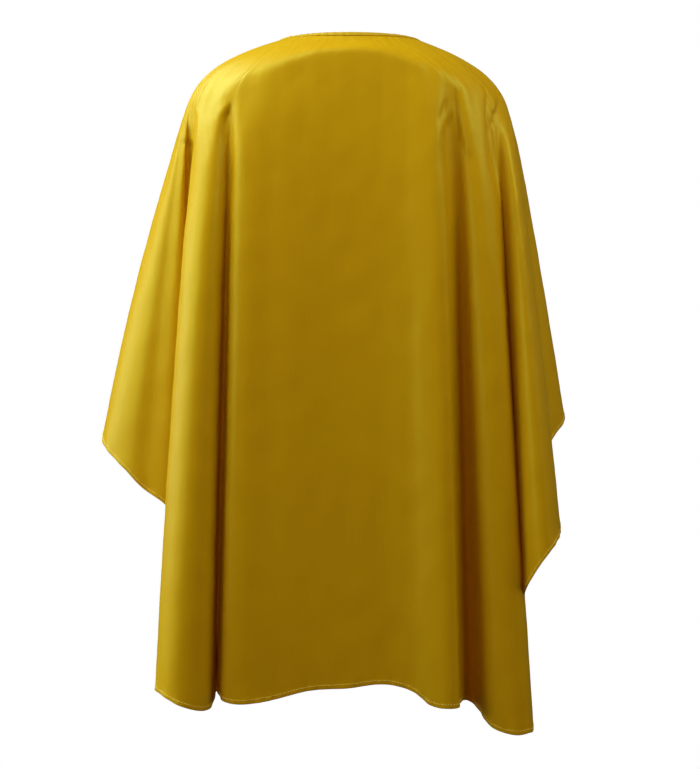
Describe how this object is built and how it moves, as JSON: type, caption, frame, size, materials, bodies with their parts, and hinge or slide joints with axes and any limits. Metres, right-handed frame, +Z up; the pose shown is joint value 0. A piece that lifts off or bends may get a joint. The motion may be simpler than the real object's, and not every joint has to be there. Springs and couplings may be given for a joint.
{
  "type": "barber cape",
  "caption": "Satin hairdressing cape with a long front, short back and draped side wings, bound neck and a snap-tab closure at the centre back.",
  "frame": {"origin": "centre of the neck opening, level with the top of the neck binding at the front", "axes": "+Z up along the wearer, -Y towards the long front of the cape, +X to the right when the front is seen"},
  "size_m": [0.6308, 0.4245, 0.9052],
  "materials": {
    "satin": "yellow polyester satin, soft sheen",
    "binding_cloth": "narrow folded binding of the same satin, stitched",
    "band_cloth": "double satin with edge stitching",
    "interlining": "stiff unwoven interlining",
    "snap_metal": "nickel-plated press snap",
    "label_cloth": "blank woven care tag"
  },
  "bodies": {
    "cape": {"cape_sheet": "satin", "neck_binding": "binding_cloth", "underlap_band": "band_cloth", "underlap_interlining": "interlining", "overlap_root": "band_cloth", "snap_rivet_1": "snap_metal", "snap_rivet_2": "snap_metal", "snap_rivet_3": "snap_metal", "snap_rivet_4": "snap_metal", "snap_rivet_5": "snap_metal", "snap_stud_1": "snap_metal", "snap_stud_2": "snap_metal", "snap_stud_3": "snap_metal", "snap_stud_4": "snap_metal", "snap_stud_5": "snap_metal", "care_label": "label_cloth"},
    "closure_tab": {"overlap_tab": "band_cloth", "overlap_interlining": "interlining", "snap_socket_1": "snap_metal", "snap_socket_2": "snap_metal", "snap_cap_1": "snap_metal", "snap_cap_2": "snap_metal"}
  },
  "joints": [
    {"name": "closure_tab_fold", "type": "hinge", "parent": "cape", "child": "closure_tab", "pos_m": [-0.0435, 0.0694, -0.015], "axis": [0, 0, 1], "range_deg": [0, 120]}
  ]
}
